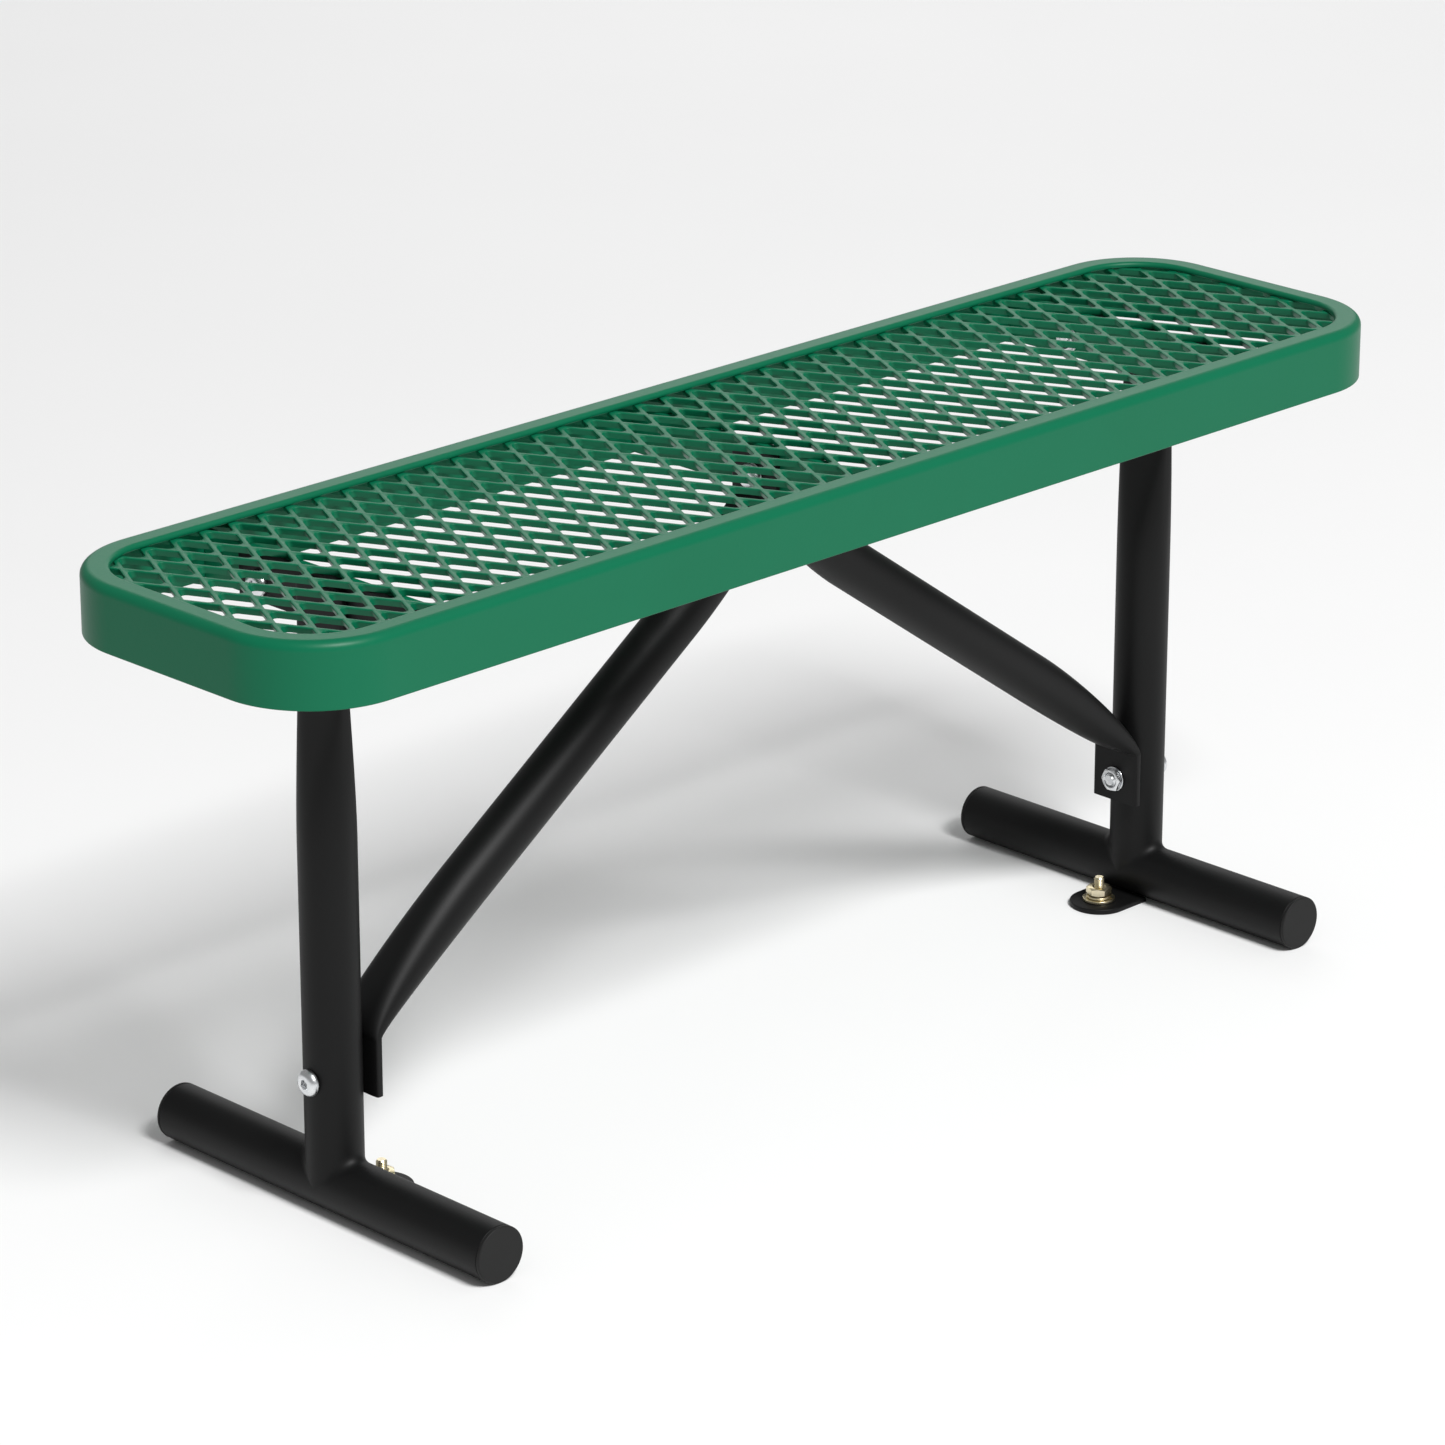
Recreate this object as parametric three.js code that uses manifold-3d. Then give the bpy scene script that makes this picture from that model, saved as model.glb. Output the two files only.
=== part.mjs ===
// Backless park bench: an expanded-metal seat in a deep rim, carried by two T-shaped tube ends
// that two diagonal tube braces tie to the middle of the seat. Every joint is bolted or welded.
// Millimetres, +Z up, X along the seat, Y across it. The origin is on the ground under the
// middle of the seat.
import * as THREE from "three";
import { ParametricGeometry } from "three/addons/geometries/ParametricGeometry.js";
import { mergeVertices } from "three/addons/utils/BufferGeometryUtils.js";
import Module from "manifold-3d";

const wasm = await Module();
wasm.setup();

// Driving dimensions
const GAP = 0.3; // clearance between pieces that touch
const TUBE_SIDES = 20;
const BOLT_SIDES = 12;

const SEAT = { length: 1066.8, width: 263, height: 457.2, corner: 71 };
const RIM = {
  depth: 45.5,
  wall: 4.5,
  lip: 19.5,
  lipThickness: 4.2,
  lipChamfer: 1.5,
  round: 6.5,
  cornerSteps: 8,
};
const GRILLE = {
  pitchX: 24.81,
  pitchY: 50,
  strand: 3.3,
  thickness: 5,
  lean: 2.3, // how far the strands' undersides stand toward +X of their tops
  shiftX: 14.4, // centre of the diamond nearest the middle of the seat
  shiftY: -8.5,
  border: 16, // unpierced edge, most of it under the rim's lip
};
const RIB = { thickness: 6.2, depth: 34.3 };
const CROSS_BAR = { thickness: 4.7, length: 172 };

const LEG_X = 404; // distance of each leg from the middle of the seat
const FOOT = { diameter: 40, wall: 2.6, length: 326, capThickness: 2.5, plugLength: 12 };
const LEG = {
  diameter: 40,
  wall: 2.6,
  pinchStart: 265, // heights between which the round tube is pressed flat
  pinchEnd: 395,
  top: 441,
  flatWidth: 45,
  flatThickness: 6,
};
const BRACE = {
  diameter: 37,
  wall: 2.4,
  slope: 34.9, // degrees above level
  levelX: 216.5, // where the axis crosses levelZ
  levelZ: 248,
  flatWidth: 42.5,
  flatThickness: 6,
  tongue: 17.5, // from the bolt to the end of the flat
  lowShoulder: 121.5, // heights where the flats stop and the tube swells out
  highShoulder: 412,
  lowTaper: 120, // lengths over which each end opens from flat to round
  highTaper: 95,
};
const TAB = { thickness: 4, width: 44, anchorX: 363 };

const LEG_BOLT_Z = 98;
const SEAT_BOLT_Z = 426;
const END_BOLT_Y = 66;
const BOLT = {
  diameter: 10,
  head: 19,
  headHeight: 5.6,
  brim: 1.7, // upright edge of the domed head
  crown: 5.7, // radius of the flat round the socket
  socket: 6,
  socketDepth: 2,
  hole: 11,
  beyondNut: 0.8,
};
const NUT = { acrossFlats: 16, height: 3.6 };
const WASHER = { outer: 19, thickness: 1.2 };
const ANCHOR = {
  diameter: 8,
  top: 22.5,
  chamfer: 0.8,
  hole: 10,
  nutFlats: 17,
  nutHeight: 6,
  washer: 24.5,
  washerThickness: 2,
};
const LOCK_WASHER = { outer: 19, thickness: 2, slot: 2 };
const OVERRUN = 1; // how far a cutter passes the face that it opens

// Materials
const coat = (color, roughness, metalness) =>
  new THREE.MeshStandardMaterial({ color, roughness, metalness });
const greenCoat = () => coat(0x1f7350, 0.45, 0);
const blackPaint = () => coat(0x1d1e1e, 0.5, 0.1);
const blackPlastic = () => coat(0x2a2a2a, 0.6, 0);
const zinc = () => coat(0xc2c4c4, 0.3, 1);
const yellowZinc = () => coat(0xd8c890, 0.35, 1);

// Solids
function solid(geometry) {
  const bare = geometry.clone();
  bare.deleteAttribute("normal");
  bare.deleteAttribute("uv");
  const merged = mergeVertices(bare, 1e-4);
  return new wasm.Manifold(
    new wasm.Mesh({
      numProp: 3,
      vertProperties: new Float32Array(merged.attributes.position.array),
      triVerts: new Uint32Array(merged.index.array),
    }),
  );
}

function geometryOf(manifold) {
  const { vertProperties, triVerts } = manifold.getMesh();
  const geometry = new THREE.BufferGeometry();
  geometry.setAttribute("position", new THREE.BufferAttribute(vertProperties, 3));
  geometry.setIndex(new THREE.BufferAttribute(triVerts, 1));
  return geometry;
}

function cut(geometry, cutters) {
  let left = solid(geometry);
  for (const cutter of cutters) left = left.subtract(solid(cutter));
  return geometryOf(left);
}

const boxBetween = (x0, x1, y0, y1, z0, z1) => {
  const box = new THREE.BoxGeometry(x1 - x0, y1 - y0, z1 - z0);
  return box.translate((x0 + x1) / 2, (y0 + y1) / 2, (z0 + z1) / 2);
};

// A hole for a bolt along X, through a piece that reaches from x0 to x1.
const drill = (x0, x1, y, z) =>
  new THREE.CylinderGeometry(BOLT.hole / 2, BOLT.hole / 2, x1 - x0 + 2 * OVERRUN, BOLT_SIDES)
    .rotateZ(-Math.PI / 2)
    .translate((x0 + x1) / 2, y, z);

const rodAlongY = (diameter, y0, y1, x, z) =>
  new THREE.CylinderGeometry(diameter / 2, diameter / 2, y1 - y0, TUBE_SIDES)
    .translate(x, (y0 + y1) / 2, z);

// A solid of revolution about +Z from points [radius, height].
function turned(profile, sides) {
  const points = profile.map(([radius, height]) => new THREE.Vector2(radius, height));
  return new THREE.LatheGeometry(points, sides).rotateX(Math.PI / 2);
}

function roundedRectangle(length, width, radius) {
  const x = length / 2;
  const y = width / 2;
  const shape = new THREE.Shape();
  shape.moveTo(-x + radius, -y);
  shape.lineTo(x - radius, -y);
  shape.absarc(x - radius, -y + radius, radius, -Math.PI / 2, 0);
  shape.lineTo(x, y - radius);
  shape.absarc(x - radius, y - radius, radius, 0, Math.PI / 2);
  shape.lineTo(-x + radius, y);
  shape.absarc(-x + radius, y - radius, radius, Math.PI / 2, Math.PI);
  shape.lineTo(-x, -y + radius);
  shape.absarc(-x + radius, -y + radius, radius, Math.PI, 1.5 * Math.PI);
  return shape;
}

// A closed surface whose grid of points wraps round in both directions.
function wrapped(rows, columns, pointAt) {
  const surface = (u, v, target) => {
    target.copy(pointAt(Math.round(u * rows) % rows, Math.round(v * columns) % columns));
  };
  return new ParametricGeometry(surface, rows, columns);
}

// Seat
function rimSection() {
  const { depth, wall, lip, lipThickness, lipChamfer, round } = RIM;
  const points = [
    [0, -depth],
    [0, -round],
  ];
  for (const angle of [30, 60, 90]) {
    const turn = THREE.MathUtils.degToRad(angle);
    points.push([round * (1 - Math.cos(turn)), round * (Math.sin(turn) - 1)]);
  }
  points.push([lip - lipChamfer, 0], [lip, -lipChamfer], [lip, -lipThickness]);
  points.push([wall, -lipThickness], [wall, -depth]);
  return points;
}

function seatRim() {
  const section = rimSection();
  const perCorner = RIM.cornerSteps + 1;
  const pointAt = (station, index) => {
    const corner = Math.floor(station / perCorner);
    const turn = (Math.PI / 2) * (corner + (station % perCorner) / RIM.cornerSteps);
    const [inset, drop] = section[index];
    const sideX = corner === 0 || corner === 3 ? 1 : -1;
    const sideY = corner < 2 ? 1 : -1;
    return new THREE.Vector3(
      sideX * (SEAT.length / 2 - SEAT.corner) + (SEAT.corner - inset) * Math.cos(turn),
      sideY * (SEAT.width / 2 - SEAT.corner) + (SEAT.corner - inset) * Math.sin(turn),
      SEAT.height + drop,
    );
  };
  return wrapped(4 * perCorner, section.length, pointAt);
}

const grilleTop = SEAT.height - RIM.lipThickness - GAP;
const grilleBottom = grilleTop - GRILLE.thickness;

// True where a point lies inside the rounded rectangle that is inset from the seat's outline.
function insideSeat(x, y, inset) {
  const radius = SEAT.corner - inset;
  const overX = Math.abs(x) - (SEAT.length / 2 - SEAT.corner);
  const overY = Math.abs(y) - (SEAT.width / 2 - SEAT.corner);
  if (overX > 0 && overY > 0) return Math.hypot(overX, overY) < radius;
  return overX < radius && overY < radius;
}

// Diamonds in rows half a pitch apart, whose centres lie well inside the rim's lip.
function diamondHoles() {
  const { pitchX, pitchY, strand, shiftX, shiftY, border } = GRILLE;
  const halfX = (pitchX - strand * Math.hypot(1, pitchX / pitchY)) / 2;
  const halfY = (halfX * pitchY) / pitchX;
  const columns = Math.ceil(SEAT.length / 2 / pitchX) + 1;
  const rows = Math.ceil(SEAT.width / pitchY) + 1;
  const holes = [];
  for (let row = -rows; row <= rows; row += 1) {
    for (let column = -columns; column <= columns; column += 1) {
      const x = shiftX + pitchX * (column + (row % 2) / 2);
      const y = shiftY + (pitchY / 2) * row;
      if (!insideSeat(x, y, border - 2 * OVERRUN)) continue;
      const diamond = new THREE.Shape();
      diamond.moveTo(x - halfX, y);
      diamond.lineTo(x, y - halfY);
      diamond.lineTo(x + halfX, y);
      diamond.lineTo(x, y + halfY);
      holes.push(diamond);
    }
  }
  return holes;
}

function seatSlab(inset, z0, z1) {
  const outline = roundedRectangle(
    SEAT.length - 2 * inset,
    SEAT.width - 2 * inset,
    SEAT.corner - inset,
  );
  const extrusion = { depth: z1 - z0, bevelEnabled: false, curveSegments: RIM.cornerSteps / 2 };
  return new THREE.ExtrudeGeometry(outline, extrusion).translate(0, 0, z0);
}

function seatGrille() {
  const { thickness, lean, border } = GRILLE;
  const depth = thickness + 2 * OVERRUN;
  const diamonds = new THREE.ExtrudeGeometry(diamondHoles(), { depth, bevelEnabled: false });
  diamonds.translate(0, 0, -thickness - OVERRUN);
  const leaning = new THREE.Matrix4().makeShear(0, 0, 0, 0, -lean / thickness, 0);
  const holes = solid(diamonds.applyMatrix4(leaning).translate(0, 0, grilleTop));
  const trim = solid(seatSlab(border, grilleBottom - 2 * OVERRUN, grilleTop + 2 * OVERRUN));
  const sheet = solid(seatSlab(RIM.wall + GAP, grilleBottom, grilleTop));
  return geometryOf(sheet.subtract(holes.intersect(trim)));
}

const ribTop = grilleBottom - GAP;
const ribBottom = ribTop - RIB.depth;
const endRibInner = LEG_X - LEG.flatThickness / 2 - CROSS_BAR.thickness - RIB.thickness - 2 * GAP;

function rib(x0, boltYs) {
  const halfWidth = SEAT.width / 2 - RIM.wall - GAP;
  const plate = boxBetween(x0, x0 + RIB.thickness, -halfWidth, halfWidth, ribBottom, ribTop);
  return cut(
    plate,
    boltYs.map((y) => drill(x0, x0 + RIB.thickness, y, SEAT_BOLT_Z)),
  );
}

// Frame
function footTube() {
  const half = FOOT.length / 2 - FOOT.capThickness - GAP;
  const z = FOOT.diameter / 2;
  const bore = FOOT.diameter - 2 * FOOT.wall;
  const hollow = rodAlongY(bore, -half - OVERRUN, half + OVERRUN, 0, z);
  return cut(rodAlongY(FOOT.diameter, -half, half, 0, z), [hollow]);
}

// The disc closes the tube's end and its plug fills the bore. Built facing +Y.
function footCap() {
  const outer = FOOT.diameter / 2;
  const plug = outer - FOOT.wall - GAP;
  const { capThickness, plugLength } = FOOT;
  const profile = [
    [0, -plugLength],
    [plug, -plugLength],
    [plug, 0],
    [outer, 0],
    [outer, capThickness],
    [0, capThickness],
  ];
  const cap = turned(profile, TUBE_SIDES).rotateX(-Math.PI / 2);
  return cap.translate(0, FOOT.length / 2 - capThickness, FOOT.diameter / 2);
}

const FLATTENING = 0.72; // how square the section is when it is fully pressed

// A tube's section across a heading in the XZ plane: round at squash 0, a flat bar at 1.
function squashedRing({ x, z, heading, squash }, radius, width, thickness) {
  const power = 1 - FLATTENING * squash;
  const soften = (value) => Math.sign(value) * Math.abs(value) ** power;
  const across = THREE.MathUtils.lerp(radius, width / 2, squash);
  const through = THREE.MathUtils.lerp(radius, thickness / 2, squash);
  const ring = [];
  for (let side = 0; side < TUBE_SIDES; side += 1) {
    const angle = (-2 * Math.PI * side) / TUBE_SIDES;
    const lift = through * soften(Math.cos(angle));
    const y = across * soften(Math.sin(angle));
    ring.push(new THREE.Vector3(x + lift * Math.sin(heading), y, z - lift * Math.cos(heading)));
  }
  return ring;
}

// A hollow tube between an outer and an inner row of rings.
function hollowTube(outer, inner) {
  const rings = [...outer, ...inner.reverse()];
  return wrapped(rings.length, TUBE_SIDES, (row, side) => rings[row][side]);
}

function legTube() {
  const { diameter, pinchStart, pinchEnd, top, wall, flatWidth, flatThickness } = LEG;
  const upright = { x: 0, heading: Math.PI / 2 };
  const stations = [{ ...upright, z: FOOT.diameter / 2, squash: 0 }];
  for (const share of [0, 0.25, 0.5, 0.75, 1]) {
    const z = THREE.MathUtils.lerp(pinchStart, pinchEnd, share);
    stations.push({ ...upright, z, squash: THREE.MathUtils.smoothstep(share, 0, 1) });
  }
  stations.push({ ...upright, z: top, squash: 1 });
  const rings = (thickness) =>
    stations.map((station) =>
      squashedRing(
        station,
        diameter / 2 - thickness,
        flatWidth - 2 * thickness,
        flatThickness - 2 * thickness,
      ),
    );
  const saddle = rodAlongY(FOOT.diameter + 2 * GAP, -diameter, diameter, 0, FOOT.diameter / 2);
  const bolt = drill(-diameter / 2, diameter / 2, 0, LEG_BOLT_Z);
  return cut(hollowTube(rings(0), rings(wall)), [saddle, bolt]);
}

const braceLowX = LEG_X - LEG.diameter / 2 - GAP - BRACE.flatThickness / 2;
const braceHighX = RIB.thickness / 2 + GAP + BRACE.flatThickness / 2;

// Rings of one end of the brace on the +X side, from its flat's tip to where the tube is round.
function braceEnd(flatX, tipZ, shoulderZ, direction, taper, thickness) {
  const rise = THREE.MathUtils.degToRad(BRACE.slope);
  const axisZ = BRACE.levelZ + (BRACE.levelX - flatX) * Math.tan(rise);
  const radius = BRACE.diameter / 2 - thickness;
  const width = BRACE.flatWidth - 2 * thickness;
  const pressed = BRACE.flatThickness - 2 * thickness;
  const flatAt = (z) =>
    squashedRing({ x: flatX, z, heading: Math.PI / 2, squash: 1 }, radius, width, pressed);
  const roundAt = (distance) => {
    const x = flatX - direction * distance * Math.cos(rise);
    const z = axisZ + direction * distance * Math.sin(rise);
    return squashedRing({ x, z, heading: Math.PI - rise, squash: 0 }, radius, width, pressed);
  };
  const opening = [0, 0.08, 0.2, 0.4, 0.65, 1].map((share) => {
    const flat = flatAt(shoulderZ);
    const weight = 1 - (1 - share) ** 2;
    return roundAt(taper * share).map((point, side) => flat[side].clone().lerp(point, weight));
  });
  return [flatAt(tipZ), ...opening];
}

function braceTube() {
  const { tongue, lowShoulder, highShoulder, lowTaper, highTaper, wall, flatThickness } = BRACE;
  const low = (depth) => braceEnd(braceLowX, LEG_BOLT_Z - tongue, lowShoulder, 1, lowTaper, depth);
  const high = (depth) =>
    braceEnd(braceHighX, SEAT_BOLT_Z + tongue, highShoulder, -1, highTaper, depth);
  const rings = (depth) => [...low(depth), ...high(depth).reverse()];
  const half = flatThickness / 2;
  return cut(hollowTube(rings(0), rings(wall)), [
    drill(braceLowX - half, braceLowX + half, 0, LEG_BOLT_Z),
    drill(braceHighX - half, braceHighX + half, 0, SEAT_BOLT_Z),
  ]);
}

// A flat bar across the top of the leg, which the seat's end rib bolts to.
function crossBar(x0) {
  const half = CROSS_BAR.length / 2;
  const bar = boxBetween(x0, x0 + CROSS_BAR.thickness, -half, half, ribBottom, ribTop);
  const drills = [-1, 1].map((side) =>
    drill(x0, x0 + CROSS_BAR.thickness, side * END_BOLT_Y, SEAT_BOLT_Z),
  );
  return cut(bar, drills);
}

// The anchor tab of the +X foot: round at its free end and square against the tube.
function floorTab() {
  const radius = TAB.width / 2;
  const footCentre = FOOT.diameter / 2;
  const reach = Math.sqrt(footCentre ** 2 - (footCentre - TAB.thickness) ** 2) + GAP;
  const shape = new THREE.Shape();
  shape.moveTo(LEG_X - reach, radius);
  shape.lineTo(TAB.anchorX, radius);
  shape.absarc(TAB.anchorX, 0, radius, Math.PI / 2, 1.5 * Math.PI);
  shape.lineTo(LEG_X - reach, -radius);
  const hole = new THREE.Path();
  hole.absarc(TAB.anchorX, 0, ANCHOR.hole / 2, 0, 2 * Math.PI, true);
  shape.holes = [hole];
  const extrusion = { depth: TAB.thickness, bevelEnabled: false, curveSegments: TUBE_SIDES / 2 };
  return new THREE.ExtrudeGeometry(shape, extrusion);
}

// Fasteners, built along +Z from the face that bears on the work
function buttonBolt(length) {
  const { diameter, head, headHeight, brim, crown, socket, socketDepth } = BOLT;
  const profile = [
    [0, -length],
    [diameter / 2, -length],
    [diameter / 2, 0],
    [head / 2, 0],
    [head / 2, brim],
    [crown, headHeight],
    [0, headHeight],
  ];
  const recess = new THREE.CylinderGeometry(socket / 2, socket / 2, 2 * socketDepth, 6);
  recess.rotateX(Math.PI / 2).translate(0, 0, headHeight);
  return cut(turned(profile, BOLT_SIDES), [recess]);
}

function hexNut(acrossFlats, height, bore) {
  const corners = [0, 1, 2, 3, 4, 5].map((corner) => {
    const angle = (Math.PI / 3) * corner;
    const reach = acrossFlats / Math.sqrt(3);
    return new THREE.Vector2(reach * Math.cos(angle), reach * Math.sin(angle));
  });
  const hexagon = new THREE.Shape(corners);
  const hole = new THREE.Path();
  hole.absarc(0, 0, bore / 2, 0, 2 * Math.PI, true);
  hexagon.holes = [hole];
  const extrusion = { depth: height, bevelEnabled: false, curveSegments: BOLT_SIDES / 2 };
  return new THREE.ExtrudeGeometry(hexagon, extrusion);
}

function washer(outer, inner, thickness) {
  const profile = [
    [inner / 2, 0],
    [outer / 2, 0],
    [outer / 2, thickness],
    [inner / 2, thickness],
    [inner / 2, 0],
  ];
  return turned(profile, BOLT_SIDES);
}

function lockWasher() {
  const { outer, thickness, slot } = LOCK_WASHER;
  const ring = washer(outer, ANCHOR.diameter + 2 * GAP, thickness);
  const split = boxBetween(0, outer, -slot / 2, slot / 2, -OVERRUN, thickness + OVERRUN);
  return cut(ring, [split]);
}

function anchorStud() {
  const { diameter, top, chamfer } = ANCHOR;
  const profile = [
    [0, 0],
    [diameter / 2, 0],
    [diameter / 2, top - chamfer],
    [diameter / 2 - chamfer, top],
    [0, top],
  ];
  return turned(profile, BOLT_SIDES);
}

// Assembly
const bench = new THREE.Group();

function place(name, geometry, material, parent = bench) {
  const mesh = new THREE.Mesh(geometry, material);
  mesh.name = name;
  parent.add(mesh);
  return mesh;
}

// A bolt through a stack along X: the head bears on headX and the nut's washer on nutX.
function boltStack(prefix, headX, nutX, y, z, headWasher = false) {
  const outward = Math.sign(headX - nutX);
  const overWasher = WASHER.thickness + 2 * GAP;
  const headGap = headWasher ? overWasher : GAP;
  const grip = Math.abs(headX - nutX) + headGap + overWasher;
  const length = grip + NUT.height + BOLT.beyondNut;
  const bore = BOLT.diameter + 2 * GAP;
  const flatWasher = () => washer(WASHER.outer, bore, WASHER.thickness);
  const headSide = new THREE.Group();
  headSide.position.set(headX, y, z);
  headSide.rotation.y = (outward * Math.PI) / 2;
  const nutSide = new THREE.Group();
  nutSide.position.set(nutX, y, z);
  nutSide.rotation.y = (-outward * Math.PI) / 2;
  bench.add(headSide, nutSide);
  place(prefix + "_bolt", buttonBolt(length), zinc(), headSide).position.z = headGap;
  if (headWasher) {
    place(prefix + "_head_washer", flatWasher(), zinc(), headSide).position.z = GAP;
  }
  place(prefix + "_washer", flatWasher(), zinc(), nutSide).position.z = GAP;
  const nut = place(prefix + "_nut", hexNut(NUT.acrossFlats, NUT.height, bore), zinc(), nutSide);
  nut.position.z = overWasher;
}

place("seat_rim", seatRim(), greenCoat());
place("seat_mesh", seatGrille(), greenCoat());
place("seat_rib_centre", rib(-RIB.thickness / 2, [0]), greenCoat());

for (const [sideName, side] of [["left", -1], ["right", 1]]) {
  const ribX = side > 0 ? endRibInner : -endRibInner - RIB.thickness;
  place("seat_rib_" + sideName, rib(ribX, [-END_BOLT_Y, END_BOLT_Y]), greenCoat());

  const barInner = endRibInner + RIB.thickness + GAP;
  const barX = side > 0 ? barInner : -barInner - CROSS_BAR.thickness;
  place("cross_bar_" + sideName, crossBar(barX), blackPaint());

  const frame = new THREE.Group();
  frame.position.x = side * LEG_X;
  bench.add(frame);
  place("foot_tube_" + sideName, footTube(), blackPaint(), frame);
  place("leg_tube_" + sideName, legTube(), blackPaint(), frame);
  place("foot_cap_" + sideName + "_back", footCap(), blackPlastic(), frame);
  place("foot_cap_" + sideName + "_front", footCap(), blackPlastic(), frame).rotation.z = Math.PI;

  // The brace and the tab are drawn for +X and turned half round for -X.
  const halfTurn = side > 0 ? 0 : Math.PI;
  place("brace_tube_" + sideName, braceTube(), blackPaint()).rotation.z = halfTurn;
  place("floor_tab_" + sideName, floorTab(), blackPaint()).rotation.z = halfTurn;

  const legOuter = side * (LEG_X + LEG.diameter / 2);
  const tongueInner = side * (braceLowX - BRACE.flatThickness / 2);
  boltStack("leg_" + sideName, legOuter, tongueInner, 0, LEG_BOLT_Z);
  for (const [rowName, row] of [["front", -1], ["back", 1]]) {
    const barOuter = side * (barInner + CROSS_BAR.thickness);
    const prefix = "seat_" + sideName + "_" + rowName;
    boltStack(prefix, barOuter, side * endRibInner, row * END_BOLT_Y, SEAT_BOLT_Z);
  }

  const anchor = new THREE.Group();
  anchor.position.x = side * TAB.anchorX;
  bench.add(anchor);
  const washerZ = TAB.thickness + GAP;
  const lockZ = washerZ + ANCHOR.washerThickness + GAP;
  const nutZ = lockZ + LOCK_WASHER.thickness + GAP;
  const bore = ANCHOR.diameter + 2 * GAP;
  place("anchor_stud_" + sideName, anchorStud(), yellowZinc(), anchor);
  const plain = washer(ANCHOR.washer, bore, ANCHOR.washerThickness);
  place("anchor_washer_" + sideName, plain, yellowZinc(), anchor).position.z = washerZ;
  place("anchor_lock_washer_" + sideName, lockWasher(), yellowZinc(), anchor).position.z = lockZ;
  const nut = hexNut(ANCHOR.nutFlats, ANCHOR.nutHeight, bore);
  place("anchor_nut_" + sideName, nut, yellowZinc(), anchor).position.z = nutZ;
}

const tongueFace = braceHighX + BRACE.flatThickness / 2;
boltStack("centre", -tongueFace, tongueFace, 0, SEAT_BOLT_Z, true);

export default bench;
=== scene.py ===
# Backless park bench: an expanded-metal seat in a deep round-cornered rim, on two tube T-frames
# that two diagonal tube braces tie to the middle of the seat.
# Metres, +Z up, X along the seat, Y across it; the front of the bench faces -Y.
import math

import bmesh
import bpy
from mathutils import Matrix, Vector


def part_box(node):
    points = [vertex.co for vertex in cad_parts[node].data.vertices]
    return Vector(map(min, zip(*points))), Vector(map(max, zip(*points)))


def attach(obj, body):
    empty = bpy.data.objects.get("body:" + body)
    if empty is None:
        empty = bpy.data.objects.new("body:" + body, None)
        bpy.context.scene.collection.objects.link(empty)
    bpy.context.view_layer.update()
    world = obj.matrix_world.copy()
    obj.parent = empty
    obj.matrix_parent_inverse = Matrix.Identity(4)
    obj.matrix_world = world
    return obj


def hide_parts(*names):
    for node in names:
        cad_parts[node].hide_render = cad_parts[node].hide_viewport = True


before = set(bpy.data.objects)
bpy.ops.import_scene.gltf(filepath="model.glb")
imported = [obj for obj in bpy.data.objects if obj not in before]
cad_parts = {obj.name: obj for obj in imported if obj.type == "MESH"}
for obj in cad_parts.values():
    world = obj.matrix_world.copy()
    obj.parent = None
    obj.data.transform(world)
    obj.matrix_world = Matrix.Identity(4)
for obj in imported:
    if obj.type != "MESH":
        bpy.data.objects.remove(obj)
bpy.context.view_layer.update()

MM = 0.001
TOUCHING = 0.001 * MM  # points nearer to each other than this are one
BODY = "root"
SIDES = {"left": -1, "right": 1}
ROWS = {"front": -1, "back": 1}


def centre(node):
    low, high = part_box(node)
    return (low + high) / 2


def size(node):
    low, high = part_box(node)
    return high - low


# Seat
SEAT_LENGTH, SEAT_WIDTH, RIM_DEPTH = size("seat_rim")
SEAT_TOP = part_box("seat_rim")[1].z
SEAT_CORNER = 71 * MM
RIM_WALL = 4.5 * MM
RIM_LIP = 19.5 * MM
RIM_LIP_THICKNESS = 4.2 * MM
RIM_ROUND = 6.5 * MM  # over the seat's edge
RIM_NOSE = 2.8 * MM  # along the lip's inner edge, from above
RIM_NOSE_UNDER = 0.9 * MM
RIM_FOLD = 1.5 * MM  # inside the angle of lip and wall
RIM_EDGE = 0.8 * MM

MESH_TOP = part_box("seat_mesh")[1].z
MESH_DEPTH = size("seat_mesh").z
MESH_PITCH_X = 24.81 * MM
MESH_PITCH_Y = 50 * MM
MESH_STRAND = 3.7 * MM
MESH_CROWN = (1.1 * MM, 0.77 * MM)  # across and down, where a strand's top rounds over
MESH_LEAN = 2.3 * MM  # how far the strands' undersides stand toward +X of their tops
MESH_PHASE = (14.4 * MM, -8.5 * MM)
HOLE_WIDE_ROUND = 2.4 * MM  # in the wide angles of each hole
HOLE_NARROW_ROUND = 3.4 * MM
MESH_INSET = 6 * MM  # where the strands end against the wall, under the lip

# Frame
TUBE_SIDES = 64
END_HOLD = 1 * MM  # a ring this far from a flat's end keeps the flat true
SQUARENESS = 0.72  # of a pinched tube's section: 0 is an ellipse, 1 a square-edged bar
LEG_X = centre("leg_tube_right").x
LEG_RADIUS = 20 * MM
LEG_WALL = 2.6 * MM
LEG_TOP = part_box("leg_tube_right")[1].z
LEG_PINCH = (265 * MM, 395 * MM)
LEG_FLAT = (45 * MM, 6 * MM)
WELD = 7 * MM
WELD_STEPS = 6

FOOT_RADIUS = size("foot_tube_right").x / 2
FOOT_WALL = 2.6 * MM
CAP_DISC = 2.5 * MM
CAP_PLAY = 0.3 * MM

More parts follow.
